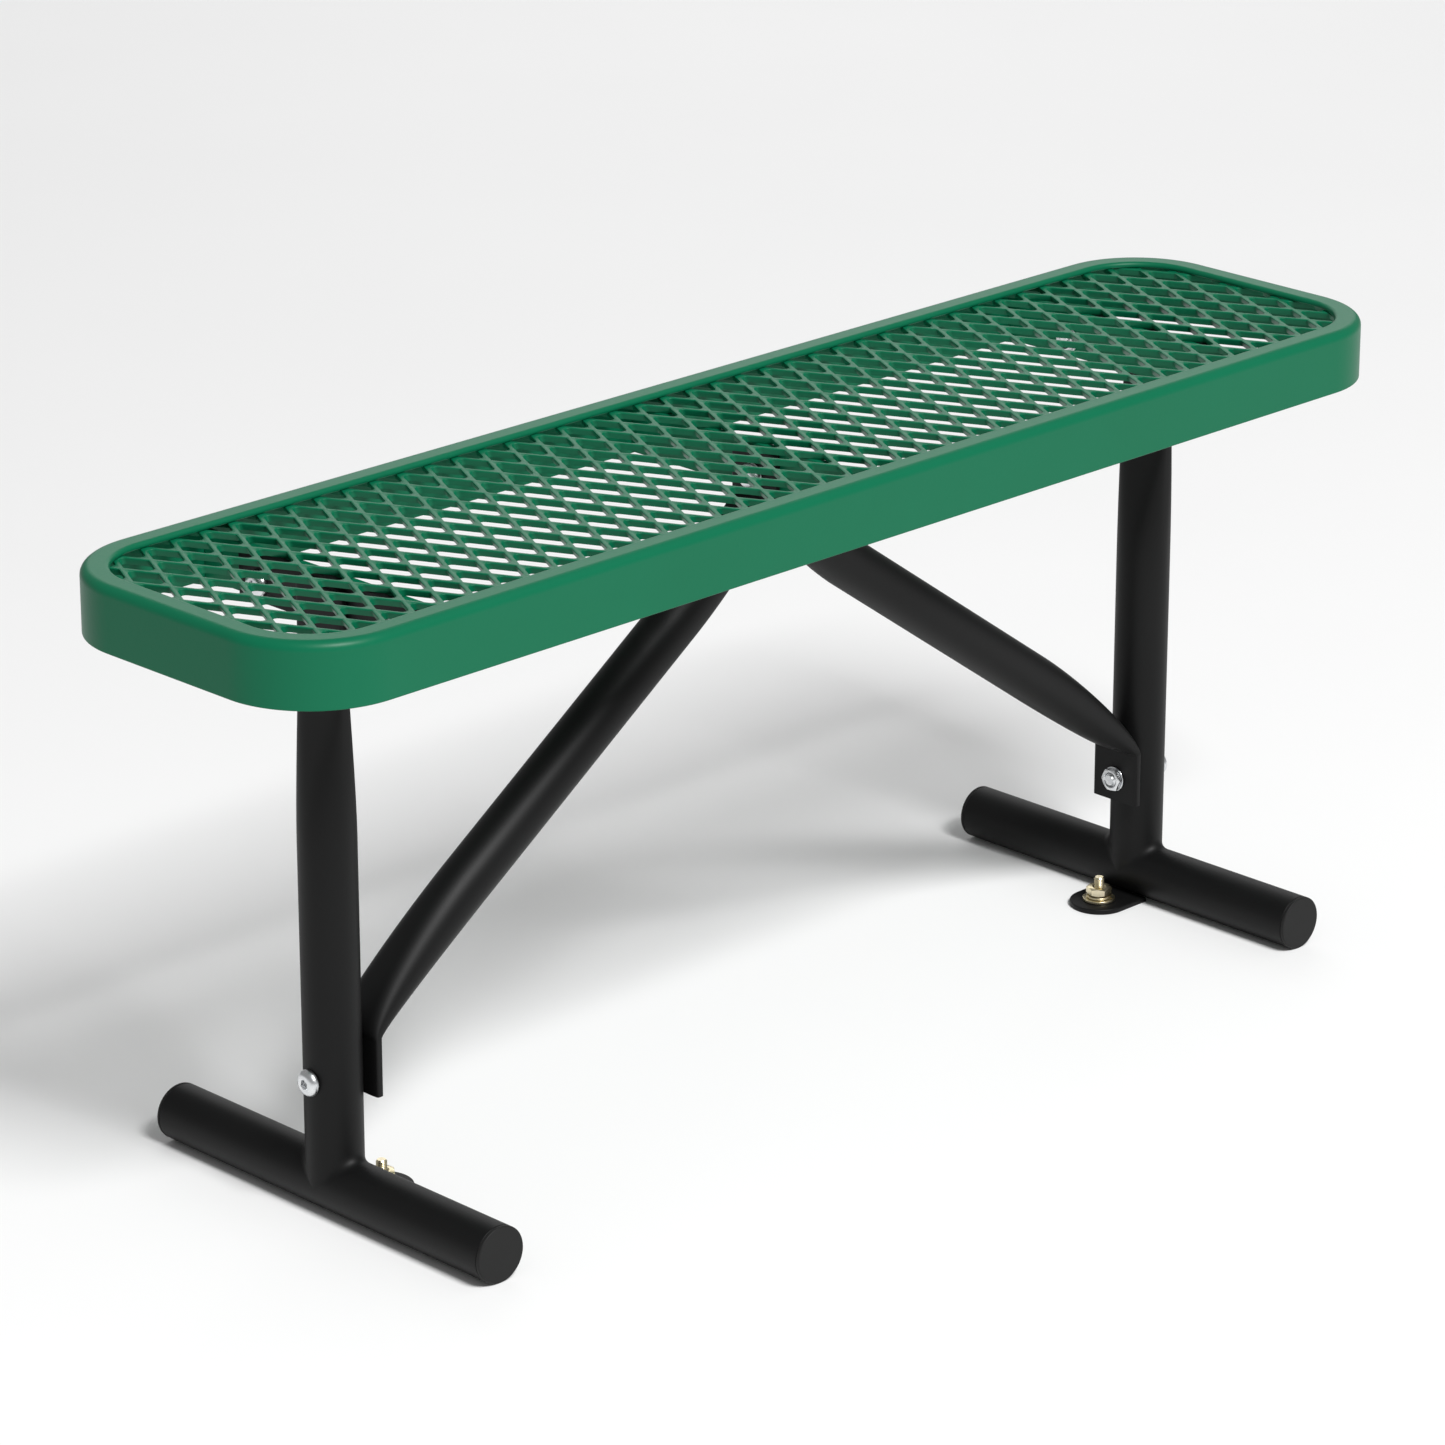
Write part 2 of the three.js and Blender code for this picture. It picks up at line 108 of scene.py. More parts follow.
BRACE_RADIUS = 18.5 * MM
BRACE_WALL = 2.4 * MM
BRACE_FLAT = (42.5 * MM, 6 * MM)
BRACE_SLOPE = math.radians(34.9)
BRACE_LEVEL = (216.5 * MM, 248 * MM)  # a point on the brace's axis, in X and Z
BRACE_SHOULDER = (121.5 * MM, 412 * MM)  # where the flats stop and the tube swells out
BRACE_TAPER = (120 * MM, 95 * MM)
BRACE_STEPS = 36
BRACE_CROWDING = 1.5  # above 1, rings crowd toward the shoulder, where the shape turns fastest

RIB_EDGE = 0.8 * MM
BAR_EDGE = 0.7 * MM
PLATE_CORNER = 0.5 * MM

# Fasteners
BOLT_HOLE = 11 * MM
BOLT_RADIUS = 5 * MM
BOLT_PITCH = 1.5 * MM
BOLT_THREADED = 16 * MM
BOLT_POINT = 1.2 * MM
BOLT_HEAD = 9.5 * MM
BOLT_HEAD_RISE = 5.6 * MM
BOLT_BRIM = 0.9 * MM
BOLT_CROWN = 4.6 * MM  # radius of the flat round the socket
SOCKET_FLATS = 6 * MM
SOCKET_CHAMFER = 0.3 * MM
SOCKET_DEPTH = 3.2 * MM
SOCKET_POINT = 1 * MM
BOLT_SIDES = 36
THREAD_DEPTH = 0.55  # as a share of the pitch
THREAD_ROWS = 4  # to one turn of the thread
NUT_FLATS = 16 * MM
NUT_FACE = 0.94  # radius of a nut's end faces, as a share of half its width across flats
NUT_CHAMFER = math.radians(30)
NUT_COUNTERSINK = (0.9 * MM, 1 * MM)  # across and down
NUT_SIDES = 48
WASHER_SIDES = 48
ANCHOR_RADIUS = 4 * MM
ANCHOR_PITCH = 1.25 * MM
ANCHOR_HOLE = 10 * MM
ANCHOR_NUT_FLATS = 17 * MM
STUD_SIDES = 32
BORE_PLAY = 0.3 * MM
SPLIT = math.radians(9)  # the gap between a spring washer's cut ends
SPLIT_RISE = 0.5 * MM

# Camera and light
CAMERA_PLACE = (-2.73727, -2.71555, 1.67094)
CAMERA_ABOVE = math.radians(20.34)
CAMERA_ROUND = math.radians(44.82)
CAMERA_LENS = 145.87
CAMERA_SENSOR = 36
WORLD_LIGHT = 0.3
FLOOR_REACH = 12


# Node trees
class Value:
    """An output of a node; arithmetic on it adds Math nodes to the same tree."""

    def __init__(self, graph, socket):
        self.graph = graph
        self.socket = socket

    def out(self, name):
        return Value(self.graph, self.socket.node.outputs[name])

    def math(self, operation, *others):
        values = dict(enumerate((self, *others)))
        return self.graph.node("ShaderNodeMath", {"operation": operation}, values)

    def __add__(self, other):
        return self.math("ADD", other)

    def __sub__(self, other):
        return self.math("SUBTRACT", other)

    def __mul__(self, other):
        return self.math("MULTIPLY", other)

    def __rsub__(self, other):
        return self * -1 + other

    __radd__ = __add__
    __rmul__ = __mul__


class Graph:
    """A node tree that is filled by node()."""

    def __init__(self, tree):
        self.tree = tree

    def node(self, kind, settings=None, inputs=None):
        made = self.tree.nodes.new(kind)
        for name, setting in (settings or {}).items():
            if name == "stops":
                self.set_stops(made.color_ramp, setting)
            else:
                setattr(made, name, setting)
        for name, value in (inputs or {}).items():
            if isinstance(value, Value):
                self.tree.links.new(value.socket, made.inputs[name])
            else:
                made.inputs[name].default_value = value
        return Value(self, made.outputs[0]) if made.outputs else None

    @staticmethod
    def set_stops(ramp, stops):
        for element, (position, grey) in zip(ramp.elements, stops):
            element.position = position
            element.color = (grey, grey, grey, 1)


# Finishes
class Finish(Graph):
    """A material whose one surface shader is set by surface()."""

    def __init__(self, name):
        self.material = bpy.data.materials.new(name)
        self.material.use_nodes = True
        super().__init__(self.material.node_tree)
        self.tree.nodes.clear()
        self.place = self.node("ShaderNodeTexCoord").out("Object")

    def noise(self, wavelength, detail, stretch=(1, 1, 1), stops=None):
        """Noise from 0 to 1 whose blotches are about a wavelength across."""
        place = self.node("ShaderNodeMapping", None, {"Vector": self.place, "Scale": stretch})
        values = {"Vector": place, "Scale": 1 / wavelength, "Detail": detail}
        field = self.node("ShaderNodeTexNoise", None, values)
        if stops is None:
            return field
        return self.node("ShaderNodeValToRGB", {"stops": stops}, {"Fac": field})

    def blend(self, factor, first, second):
        values = {"Factor": factor, 6: (*first, 1), 7: (*second, 1)}
        mixed = self.node("ShaderNodeMix", {"data_type": "RGBA"}, values)
        return mixed.out(2)

    def bump(self, height, depth):
        values = {"Height": height, "Distance": depth, "Strength": 1}
        return self.node("ShaderNodeBump", None, values)

    def surface(self, **inputs):
        values = {name.replace("_", " "): value for name, value in inputs.items()}
        shader = self.node("ShaderNodeBsdfPrincipled", None, values)
        self.node("ShaderNodeOutputMaterial", None, {"Surface": shader})
        return self.material


def green_coat():
    """Thick satin plastic coat: slow colour drift, orange peel and a fine grain."""
    finish = Finish("green_coat")
    drift = finish.noise(90 * MM, 3)
    peel = finish.noise(3.2 * MM, 1)
    grain = finish.noise(0.5 * MM, 2)
    return finish.surface(
        Base_Color=finish.blend(drift, (0.001, 0.120, 0.054), (0.002, 0.134, 0.063)),
        Roughness=0.32 + drift * 0.06 + grain * 0.08,
        Normal=finish.bump(peel * 0.8 + grain * 0.2, 0.06 * MM),
        Specular_IOR_Level=0.18,
    )


def black_powder_coat():
    """Baked powder paint: near-black, with a pebbled surface and faint cloudiness."""
    finish = Finish("black_powder_coat")
    cloud = finish.noise(70 * MM, 3)
    pebble = finish.noise(1.6 * MM, 1)
    grain = finish.noise(0.35 * MM, 2)
    return finish.surface(
        Base_Color=finish.blend(cloud, (0.0030, 0.0031, 0.0032), (0.0050, 0.0051, 0.0052)),
        Roughness=0.42 + cloud * 0.06 + grain * 0.1,
        Normal=finish.bump(pebble * 0.7 + grain * 0.3, 0.04 * MM),
        Specular_IOR_Level=0.2,
    )


def black_plastic():
    """Moulded end-cap plastic: matt and finely grained."""
    finish = Finish("black_plastic")
    cloud = finish.noise(25 * MM, 2)
    grain = finish.noise(0.45 * MM, 3)
    return finish.surface(
        Base_Color=finish.blend(cloud, (0.008, 0.008, 0.008), (0.012, 0.012, 0.012)),
        Roughness=0.52 + grain * 0.14,
        Normal=finish.bump(grain, 0.03 * MM),
        Specular_IOR_Level=0.25,
    )


def plated(name, light, dark, roughness):
    """Plated steel: blotchy tint from the bath and fine rolling marks."""
    finish = Finish(name)
    bath = finish.noise(6 * MM, 3, stops=((0.3, 0), (0.7, 1)))
    marks = finish.noise(0.6 * MM, 3, stretch=(1, 1, 0.25))
    return finish.surface(
        Base_Color=finish.blend(bath, light, dark),
        Metallic=1.0,
        Roughness=roughness + bath * 0.08 + marks * 0.1,
        Normal=finish.bump(marks, 0.015 * MM),
    )


GREEN = green_coat()
BLACK = black_powder_coat()
PLASTIC = black_plastic()
ZINC = plated("zinc_plate", (0.80, 0.81, 0.82), (0.66, 0.68, 0.70), 0.2)
YELLOW_ZINC = plated("yellow_zinc", (0.86, 0.76, 0.48), (0.78, 0.70, 0.52), 0.2)


# Mesh helpers
def mesh_object(name, bm, sharp_angle=35):
    """A bmesh as a smooth-shaded object whose faces point out and whose hard edges are sharp."""
    bmesh.ops.remove_doubles(bm, verts=bm.verts, dist=TOUCHING)
    bmesh.ops.recalc_face_normals(bm, faces=bm.faces)
    mesh = bpy.data.meshes.new(name)
    bm.to_mesh(mesh)
    bm.free()
    mesh.shade_smooth()
    mesh.set_sharp_from_angle(angle=math.radians(sharp_angle))
    made = bpy.data.objects.new(name, mesh)
    bpy.context.scene.collection.objects.link(made)
    return made


def ring_mesh(rings, closed=False, capped=False):
    """A bmesh through rings of points: each ring closes, and the last may join the first."""
    bm = bmesh.new()
    rows = [[bm.verts.new(point) for point in ring] for ring in rings]
    pairs = list(zip(rows, rows[1:]))
    if closed:
        pairs.append((rows[-1], rows[0]))
    for lower, upper in pairs:
        for index in range(len(lower)):
            beside = (index + 1) % len(lower)
            bm.faces.new((lower[index], lower[beside], upper[beside], upper[index]))
    if capped:
        bm.faces.new(rows[0])
        bm.faces.new(rows[-1])
    return bm


def rounded(corners, steps=5, hold=0.4 * MM, closed=True):
    """Points of an outline whose corners (x, y, radius) are arcs.

    A point a little way off each end of an arc keeps the flat beside it flat."""
    points = []
    count = len(corners)
    for index, (x, y, radius) in enumerate(corners):
        corner = Vector((x, y))
        if radius == 0 or (not closed and index in (0, count - 1)):
            points.append(corner)
            continue
        before = (Vector(corners[index - 1][:2]) - corner).normalized()
        after = (Vector(corners[(index + 1) % count][:2]) - corner).normalized()
        half = before.angle(after) / 2
        tangent = radius / math.tan(half)
        pivot = corner + (before + after).normalized() * radius / math.sin(half)
        spoke = corner + before * tangent - pivot
        turn = spoke.angle_signed(corner + after * tangent - pivot)
        points.append(corner + before * (tangent + hold))
        for step in range(steps + 1):
            swing = Matrix.Rotation(-turn * step / steps, 2)
            points.append(pivot + swing @ spoke)
        points.append(corner + after * (tangent + hold))
    return points


def full_turn(sides):
    """Angles that step once round a circle."""
    return [2 * math.pi * side / sides for side in range(sides)]


def turned(profile, sides):
    """Rings of a shape turned about +Z from points (radius, height)."""
    angles = full_turn(sides)
    return [[Vector((r * math.cos(a), r * math.sin(a), z)) for a in angles] for r, z in profile]


def plate(name, outline, holes, thickness, edge):
    """A flat plate in XY from z 0 up, with rounded edges, cut from an outline and round holes."""
    curve = bpy.data.curves.new(name, "CURVE")
    curve.dimensions = "2D"
    curve.fill_mode = "BOTH"
    curve.extrude = thickness / 2 - edge
    curve.bevel_depth = edge
    curve.bevel_resolution = 2
    curve.offset = -edge
    rings = [outline]
    hole_sides = 32
    for (x, y), radius in holes:
        angles = full_turn(hole_sides)
        rings.append([(x + radius * math.cos(a), y + radius * math.sin(a)) for a in angles])
    for ring in rings:
        spline = curve.splines.new("POLY")
        spline.points.add(len(ring) - 1)
        for point, (x, y) in zip(spline.points, ring):
            point.co = (x, y, 0, 1)
        spline.use_cyclic_u = True
    holder = bpy.data.objects.new(name, curve)
    bpy.context.scene.collection.objects.link(holder)
    bm = bmesh.new()
    bm.from_mesh(plain_mesh(holder))
    bmesh.ops.translate(bm, verts=bm.verts, vec=(0, 0, thickness / 2))
    bpy.data.objects.remove(holder)
    return bm


def plain_mesh(holder):
    """The evaluated mesh of an object, with its curve or modifiers turned into faces."""
    bpy.context.view_layer.update()
    depsgraph = bpy.context.evaluated_depsgraph_get()
    return bpy.data.meshes.new_from_object(holder.evaluated_get(depsgraph), depsgraph=depsgraph)


def half_turn(bm):
    """Turns a shape that is drawn for the right-hand frame about +Z for the left-hand one."""
    bmesh.ops.rotate(bm, verts=bm.verts, matrix=Matrix.Rotation(math.pi, 3, "Z"))


def lay_along_y(bm, axis, start, sign):
    """Lays a turned shape on a line along Y: its base at start, its top toward +Y or -Y."""
    to_frame = Matrix(((1, 0, 0, axis.x), (0, 0, sign, start), (0, -1, 0, axis.z), (0, 0, 0, 1)))
    bmesh.ops.transform(bm, matrix=to_frame, verts=bm.verts)


def settle(piece, material, *nodes):
    """Gives a finished piece its material and ties it to the frame."""
    piece.data.materials.clear()
    piece.data.materials.append(material)
    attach(piece, BODY)
    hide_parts(*nodes)


# Seat rim
def rim_stations():
    """Outward direction and centre of each station round the seat's outline."""
    hold = 2 * MM
    steps = 24
    half_x = SEAT_LENGTH / 2 - SEAT_CORNER
    half_y = SEAT_WIDTH / 2 - SEAT_CORNER
    stations = []
    pivots = [(half_x, half_y), (-half_x, half_y), (-half_x, -half_y), (half_x, -half_y)]
    for corner, spot in enumerate(pivots):
        pivot = Vector(spot)
        turns = [math.pi / 2 * (corner + step / steps) for step in range(steps + 1)]
        outward = [Vector((math.cos(turn), math.sin(turn))) for turn in turns]
        stations.append((outward[0], pivot - outward[-1] * hold))
        stations += [(direction, pivot) for direction in outward]
        stations.append((outward[-1], pivot - outward[0] * hold))
    return stations


def seat_rim():
    section = rounded(
        [
            (0, -RIM_DEPTH, RIM_EDGE),
            (0, 0, RIM_ROUND),
            (RIM_LIP, 0, RIM_NOSE),
            (RIM_LIP, -RIM_LIP_THICKNESS, RIM_NOSE_UNDER),
            (RIM_WALL, -RIM_LIP_THICKNESS, RIM_FOLD),
            (RIM_WALL, -RIM_DEPTH, RIM_EDGE),
        ],
        steps=6,
        hold=0.3 * MM,
    )
    rings = []
    for outward, pivot in rim_stations():
        ring = []
        for inset, drop in section:
            spot = pivot + outward * (SEAT_CORNER - inset)
            ring.append(Vector((spot.x, spot.y, SEAT_TOP + drop)))
        rings.append(ring)
    settle(mesh_object("rim", ring_mesh(rings, closed=True)), GREEN, "seat_rim")


# Seat mesh
def hole_outline(growth):
    """A hole's edge, moved out over the strands by growth: five points at each corner."""
    half = Vector((MESH_PITCH_X / 2, MESH_PITCH_Y / 2))
    tip_x = half.x - (MESH_STRAND / 2 - growth) * math.hypot(1, half.x / half.y)
    tip_y = tip_x * half.y / half.x
    wide, narrow = HOLE_WIDE_ROUND + growth, HOLE_NARROW_ROUND + growth
    corners = [(tip_x, 0, wide), (0, tip_y, narrow), (-tip_x, 0, wide), (0, -tip_y, narrow)]
    steps = 4
    outline = rounded(corners, steps=steps, hold=0)
    per_corner = steps + 3  # the arc's points and one beside each of its ends
    return [point for index, point in enumerate(outline) if 0 < index % per_corner < per_corner - 1]


def lattice_cell():
    """Half the strands round one diamond: a ring from the hole's edge to the strands' middles."""
    half = Vector((MESH_PITCH_X / 2, MESH_PITCH_Y / 2))
    tips = [Vector((half.x, 0)), Vector((0, half.y)), Vector((-half.x, 0)), Vector((0, -half.y))]
    near, far = 0.09, 0.2  # shares of the way to the next tip, abreast of the hole's arcs
    middle = []
    for index, tip in enumerate(tips):
        before, after = tips[index - 1], tips[(index + 1) % 4]
        middle += [tip.lerp(before, share) for share in (far, near)]
        middle += [tip.lerp(after, share) for share in (0, near, far)]
    across, down = MESH_CROWN
    levels = [(middle, 0)]
    for turn in (30, 60, 90):
        angle = math.radians(turn)
        levels.append((hole_outline(across * (1 - math.sin(angle))), down * (1 - math.cos(angle))))
    levels += [(hole_outline(0), MESH_DEPTH), (middle, MESH_DEPTH)]
    rings = []
    for points, drop in levels:
        lean = MESH_LEAN * drop / MESH_DEPTH
        rings.append([Vector((point.x + lean, point.y, -drop)) for point in points])
    bm = ring_mesh(rings)
    mesh = bpy.data.meshes.new("lattice_cell")
    bm.to_mesh(mesh)
    bm.free()
    cell = bpy.data.objects.new("lattice_cell", mesh)
    bpy.context.scene.collection.objects.link(cell)
    return cell


def tree_with(name, inputs):
    """An empty geometry tree with named inputs: its graph and the node that gives the inputs."""
    tree = bpy.data.node_groups.new(name, "GeometryNodeTree")
    tree.interface.new_socket("Geometry", in_out="INPUT", socket_type="NodeSocketGeometry")
    tree.interface.new_socket("Geometry", in_out="OUTPUT", socket_type="NodeSocketGeometry")
    for label, kind in inputs.items():
        tree.interface.new_socket(label, in_out="INPUT", socket_type="NodeSocket" + kind)
    graph = Graph(tree)
    entry = graph.node("NodeGroupInput")
    return graph, entry


def run_tree(name, tree, start, values):
    """Runs a geometry tree on a mesh and returns the plain mesh that it makes."""
    holder = bpy.data.objects.new(name, start)
    bpy.context.scene.collection.objects.link(holder)
    modifier = holder.modifiers.new(name, "NODES")
    modifier.node_group = tree
    for item in tree.interface.items_tree:
        if item.in_out == "INPUT" and item.name in values:
            modifier[item.identifier] = values[item.name]
    mesh = plain_mesh(holder)
    bpy.data.objects.remove(holder)
    return mesh


def lattice_tree():
    """Copies a cell to rows half a pitch apart and joins the copies into one sheet."""
    inputs = {
        "Cell": "Object",
        "Pitch X": "Float",
        "Pitch Y": "Float",
        "Columns": "Int",
        "Rows": "Int",
        "Centre": "Vector",
        "Finish": "Material",
    }
    graph, entry = tree_with("expanded_sheet", inputs)
    columns, rows = entry.out("Columns"), entry.out("Rows")
    pitch_x, pitch_y = entry.out("Pitch X"), entry.out("Pitch Y")
    sizes = {
        "Size X": pitch_x * (columns - 1),
        "Size Y": pitch_y * 0.5 * (rows - 1),
        "Vertices X": columns,
        "Vertices Y": rows,
    }
    grid = graph.node("GeometryNodeMeshGrid", None, sizes)
    row = graph.node("GeometryNodeInputIndex").math("MODULO", rows)
    parity = row.math("MODULO", 2)
    stagger = graph.node("ShaderNodeCombineXYZ", None, {"X": parity * pitch_x * 0.5})
    shift = graph.node(
        "ShaderNodeVectorMath", {"operation": "ADD"}, {0: stagger, 1: entry.out("Centre")}
    )
    points = graph.node("GeometryNodeSetPosition", None, {"Geometry": grid, "Offset": shift})
    cell = graph.node("GeometryNodeObjectInfo", None, {"Object": entry.out("Cell")})
    copies = graph.node(
        "GeometryNodeInstanceOnPoints", None, {"Points": points, "Instance": cell.out("Geometry")}
    )
    sheet = graph.node("GeometryNodeRealizeInstances", None, {"Geometry": copies})
    seam = 0.01 * MM
    joined = graph.node("GeometryNodeMergeByDistance", None, {"Geometry": sheet, "Distance": seam})
    coated = graph.node(
        "GeometryNodeSetMaterial", None, {"Geometry": joined, "Material": entry.out("Finish")}
    )
    graph.node("NodeGroupOutput", None, {"Geometry": coated})
    return graph.tree


def trim_to_seat(bm, inset):
    """Cuts a sheet to the seat's outline and closes every strand that was cut."""
    stations = rim_stations()[::3]  # every third is close enough, as the lip hides the cut
    outline = [pivot + outward * (SEAT_CORNER - inset) for outward, pivot in stations]
    for here, there in zip(outline, outline[1:] + outline[:1]):
        along = there - here
        across = Vector((along.y, -along.x, 0)).normalized()
        parts = [*bm.verts, *bm.edges, *bm.faces]
        bmesh.ops.bisect_plane(
            bm, geom=parts, plane_co=(*here, 0), plane_no=across, clear_outer=True, dist=TOUCHING
        )
    rims = [edge for edge in bm.edges if edge.is_boundary]
    bmesh.ops.holes_fill(bm, edges=rims, sides=0)


def seat_mesh():
    cell = lattice_cell()
    spare_columns, spare_rows = 3, 5  # past the seat's edges, where they are cut off
    columns = math.ceil(SEAT_LENGTH / MESH_PITCH_X) + spare_columns
    columns += 1 - columns % 2
    rows = 2 * math.ceil(SEAT_WIDTH / MESH_PITCH_Y) + spare_rows
    stagger = MESH_PITCH_X / 2 * ((rows // 2) % 2)
    values = {
        "Cell": cell,
        "Pitch X": MESH_PITCH_X,
        "Pitch Y": MESH_PITCH_Y,
        "Columns": columns,
        "Rows": rows,
        "Centre": (MESH_PHASE[0] - stagger, MESH_PHASE[1], MESH_TOP),
        "Finish": GREEN,
    }
    sheet = run_tree("expanded_sheet", lattice_tree(), bpy.data.meshes.new("start"), values)
    bpy.data.objects.remove(cell)
    bm = bmesh.new()
    bm.from_mesh(sheet)
    trim_to_seat(bm, MESH_INSET)
    piece = mesh_object("expanded_mesh", bm, sharp_angle=65)
    settle(piece, GREEN, "seat_mesh")


# Ribs and cross bars: plates on edge across the seat
def upright_plate(name, node, holes, edge):
    """A plate that fills a node's box, standing across X, with holes at (y, z) points."""
    low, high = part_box(node)
    corners = [(low.y, low.z), (high.y, low.z), (high.y, high.z), (low.y, high.z)]
    outline = rounded([(y, z, PLATE_CORNER) for y, z in corners], steps=2, hold=0)
    bm = plate(name, outline, [((y, z), BOLT_HOLE / 2) for y, z in holes], high.x - low.x, edge)
    to_frame = Matrix(((0, 0, 1, low.x), (1, 0, 0, 0), (0, 1, 0, 0), (0, 0, 0, 1)))
    bmesh.ops.transform(bm, matrix=to_frame, verts=bm.verts)
    return mesh_object(name, bm)


def seat_plates():
    middle = centre("centre_washer")
    rib_node = "seat_rib_centre"
    centre_rib = upright_plate("centre_rib", rib_node, [(middle.y, middle.z)], RIB_EDGE)
    settle(centre_rib, GREEN, rib_node)
    for side in SIDES:
        ends = [centre("seat_" + side + "_" + row + "_washer") for row in ROWS]
        holes = [(end.y, end.z) for end in ends]
        rib_node, bar_node = "seat_rib_" + side, "cross_bar_" + side
        settle(upright_plate(side + "_rib", rib_node, holes, RIB_EDGE), GREEN, rib_node)
        settle(upright_plate(side + "_cross_bar", bar_node, holes, BAR_EDGE), BLACK, bar_node)


# Tubes
def squashed_ring(at, heading, squash, radius, flat):
    """A tube's section: round at squash 0, a flat bar with round edges at 1."""
    power = 1 - SQUARENESS * squash
    across = radius + (flat[0] / 2 - radius) * squash
    through = radius + (flat[1] / 2 - radius) * squash
    ring = []
    for angle in full_turn(TUBE_SIDES):
        lift = math.copysign(abs(math.cos(angle)) ** power, math.cos(angle)) * through
        spread = math.copysign(abs(math.sin(angle)) ** power, math.sin(angle)) * across
        x, z = at.x + lift * math.sin(heading), at.y - lift * math.cos(heading)
        ring.append(Vector((x, spread, z)))
    return ring


def smooth(share):
    return share * share * (3 - 2 * share)


def ramp(start, end, steps):
    return [start + (end - start) * step / steps for step in range(steps + 1)]


def foot_tubes():
    bore = FOOT_RADIUS - FOOT_WALL
    outer_edge, inner_edge = 0.6 * MM, 0.4 * MM
    for side in SIDES:
        node = "foot_tube_" + side
        low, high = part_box(node)
        profile = rounded(
            [
                (FOOT_RADIUS, low.y, outer_edge),
                (FOOT_RADIUS, high.y, outer_edge),
                (bore, high.y, inner_edge),
                (bore, low.y, inner_edge),
            ],
            steps=3,
        )
        bm = ring_mesh(turned(profile, TUBE_SIDES), closed=True)
        lay_along_y(bm, centre(node), 0, 1)
        settle(mesh_object(side + "_foot", bm), BLACK, node)


def weld_ring(share):
    """A line along the weld of leg and foot, from the foot at share 0 to the leg at 1.

    The weld is hollow, as if a ball had been rolled round the joint of the two tubes."""
    reach = LEG_RADIUS + WELD
    ring = []
    for angle in full_turn(TUBE_SIDES):
        along_x, along_y = math.cos(angle), math.sin(angle)
        ball = Vector((reach * along_x, reach * along_y, reach * abs(along_y)))
        to_foot = -Vector((ball.x, 0, ball.z)) / reach
        to_leg = -Vector((along_x, along_y, 0))
        spoke = to_leg
        if abs(along_y) > 1e-6:  # otherwise the two tubes face the same way there
            opening = to_foot.angle(to_leg)
            weights = math.sin(opening * (1 - share)), math.sin(opening * share)
            spoke = (to_foot * weights[0] + to_leg * weights[1]) / math.sin(opening)
        ring.append(ball + spoke * WELD)
    return ring


def saddle_ring(bore):
    """The bottom of the leg's bore, where it meets the foot tube."""
    ring = []
    for angle in full_turn(TUBE_SIDES):
        x, y = bore * math.cos(angle), bore * math.sin(angle)
        ring.append(Vector((x, y, math.sqrt(FOOT_RADIUS ** 2 - x * x))))
    return ring


def leg_stations(bottom):
    """Heights up the leg, and how far it is pinched at each."""
    low, high = LEG_PINCH
    straight_steps, pinch_steps = 6, 20
    stations = [(z, 0) for z in ramp(bottom, low, straight_steps)]
    stations += [(z, smooth((z - low) / (high - low))) for z in ramp(low, high, pinch_steps)[1:]]
    return stations + [(LEG_TOP - END_HOLD, 1), (LEG_TOP, 1)]


def leg_tube():
    """The right-hand leg: the weld on its foot tube, the round tube and the pinched top."""
    foot = Vector((LEG_X, 0, centre("foot_tube_right").z))
    clear = 4 * MM
    bore_flat = [side - 2 * LEG_WALL for side in LEG_FLAT]
    outer = [[foot + spot for spot in weld_ring(share)] for share in ramp(0, 1, WELD_STEPS)]
    inner = []
    for z, squash in leg_stations(foot.z + LEG_RADIUS + WELD + clear):
        at = Vector((LEG_X, z))
        outer.append(squashed_ring(at, math.pi / 2, squash, LEG_RADIUS, LEG_FLAT))
        inner.append(squashed_ring(at, math.pi / 2, squash, LEG_RADIUS - LEG_WALL, bore_flat))
    saddle = [foot + spot for spot in saddle_ring(LEG_RADIUS - LEG_WALL)]
    return ring_mesh([*outer, *reversed(inner), saddle], closed=True)


def leg_tubes():
    for side, sign in SIDES.items():
        bm = leg_tube()
        if sign < 0:
            half_turn(bm)
        settle(mesh_object(side + "_leg", bm, sharp_angle=50), BLACK, "leg_tube_" + side)


def brace_end(flat_x, tip_z, shoulder_z, direction, taper, wall):
    """Rings of one end of the right-hand brace, from its flat's tip to where it is round."""
    axis_z = BRACE_LEVEL[1] + (BRACE_LEVEL[0] - flat_x) * math.tan(BRACE_SLOPE)
    slant = Vector((-math.cos(BRACE_SLOPE), math.sin(BRACE_SLOPE))) * direction
    pressed = [side - 2 * wall for side in BRACE_FLAT]

    def ring(at, heading, squash):
        return squashed_ring(at, heading, squash, BRACE_RADIUS - wall, pressed)

    hold = END_HOLD * direction
    levels = (tip_z, tip_z + hold, shoulder_z - hold)
    rings = [ring(Vector((flat_x, z)), math.pi / 2, 1) for z in levels]
    flat = ring(Vector((flat_x, shoulder_z)), math.pi / 2, 1)
    for step in ramp(0, 1, BRACE_STEPS):
        share = step ** BRACE_CROWDING
        at = Vector((flat_x, axis_z)) + slant * taper * share
        weight = 1 - (1 - share) ** 2
        round_ring = ring(at, math.pi - BRACE_SLOPE, 0)
        rings.append([start.lerp(end, weight) for start, end in zip(flat, round_ring)])
    return rings


def brace_rings(wall):
    low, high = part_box("brace_tube_right")
    low_x = high.x - BRACE_FLAT[1] / 2
    high_x = low.x + BRACE_FLAT[1] / 2
    foot_end = brace_end(low_x, low.z, BRACE_SHOULDER[0], 1, BRACE_TAPER[0], wall)
    seat_end = brace_end(high_x, high.z, BRACE_SHOULDER[1], -1, BRACE_TAPER[1], wall)
    return foot_end + list(reversed(seat_end))


